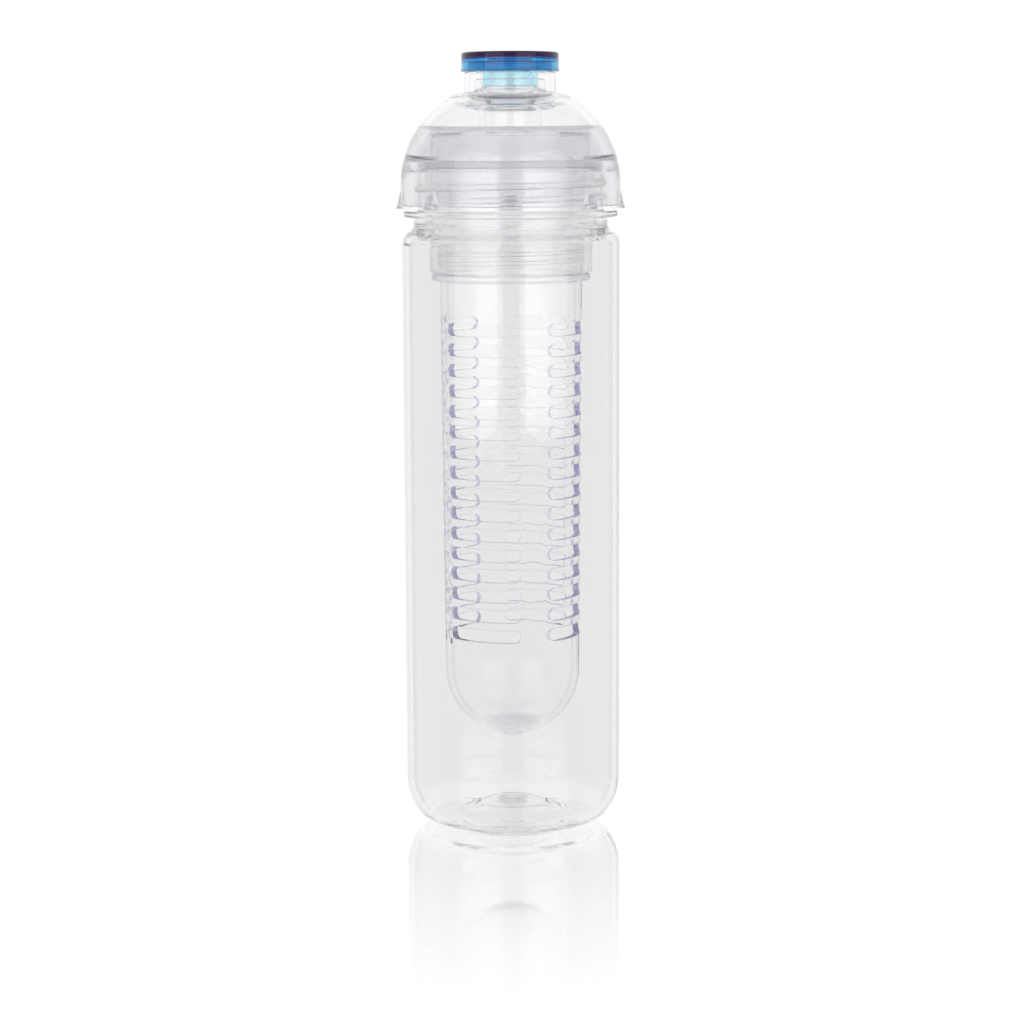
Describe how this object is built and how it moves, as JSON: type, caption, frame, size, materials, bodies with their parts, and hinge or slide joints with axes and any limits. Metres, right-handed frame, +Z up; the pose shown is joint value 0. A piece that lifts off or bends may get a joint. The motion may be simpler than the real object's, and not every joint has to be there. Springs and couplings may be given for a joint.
{
  "type": "fruit infuser water bottle",
  "caption": "Clear drinking bottle with a domed screw lid, a slotted fruit infuser basket hung inside it and a small cap on the spout.",
  "frame": {"origin": "middle of the base, on the surface the bottle stands on", "axes": "+Z up along the bottle's axis, -Y the side that the picture shows"},
  "size_m": [0.0742, 0.0742, 0.2543],
  "materials": {
    "clear_bottle": "clear glossy copolyester",
    "clear_lid": "clear glossy copolyester",
    "clear_basket": "clear glossy copolyester with a faint violet edge tint",
    "frosted_insert": "milky translucent polypropylene",
    "silicone": "translucent white silicone",
    "stopper": "translucent white silicone",
    "blue_cap": "transparent blue, glossy",
    "dark_disc": "very dark violet blue, glossy"
  },
  "bodies": {
    "bottle": {"bottle_body": "clear_bottle"},
    "gasket": {"lid_gasket": "silicone"},
    "lid": {"dome_lid": "clear_lid", "lid_insert": "frosted_insert"},
    "basket": {"infuser_basket": "clear_basket"},
    "stopper": {"cap_stopper": "stopper"},
    "cap": {"cap_body": "blue_cap", "cap_top_disc": "dark_disc"}
  },
  "joints": [
    {"name": "lid_lift", "type": "slide", "parent": "bottle", "child": "gasket", "axis": [0, 0, 1], "range_m": [0, 0.21]},
    {"name": "lid_turn", "type": "hinge", "parent": "gasket", "child": "lid", "pos_m": [0, 0, 0.218], "axis": [0, 0, 1], "range_deg": [0, 540]},
    {"name": "basket_drop", "type": "slide", "parent": "lid", "child": "basket", "axis": [0, 0, -1], "range_m": [0, 0.014]},
    {"name": "cap_lift", "type": "slide", "parent": "lid", "child": "stopper", "axis": [0, 0, 1], "range_m": [0, 0.03]},
    {"name": "cap_turn", "type": "hinge", "parent": "stopper", "child": "cap", "pos_m": [0, 0, 0.248], "axis": [0, 0, 1], "range_deg": [0, 360]}
  ]
}
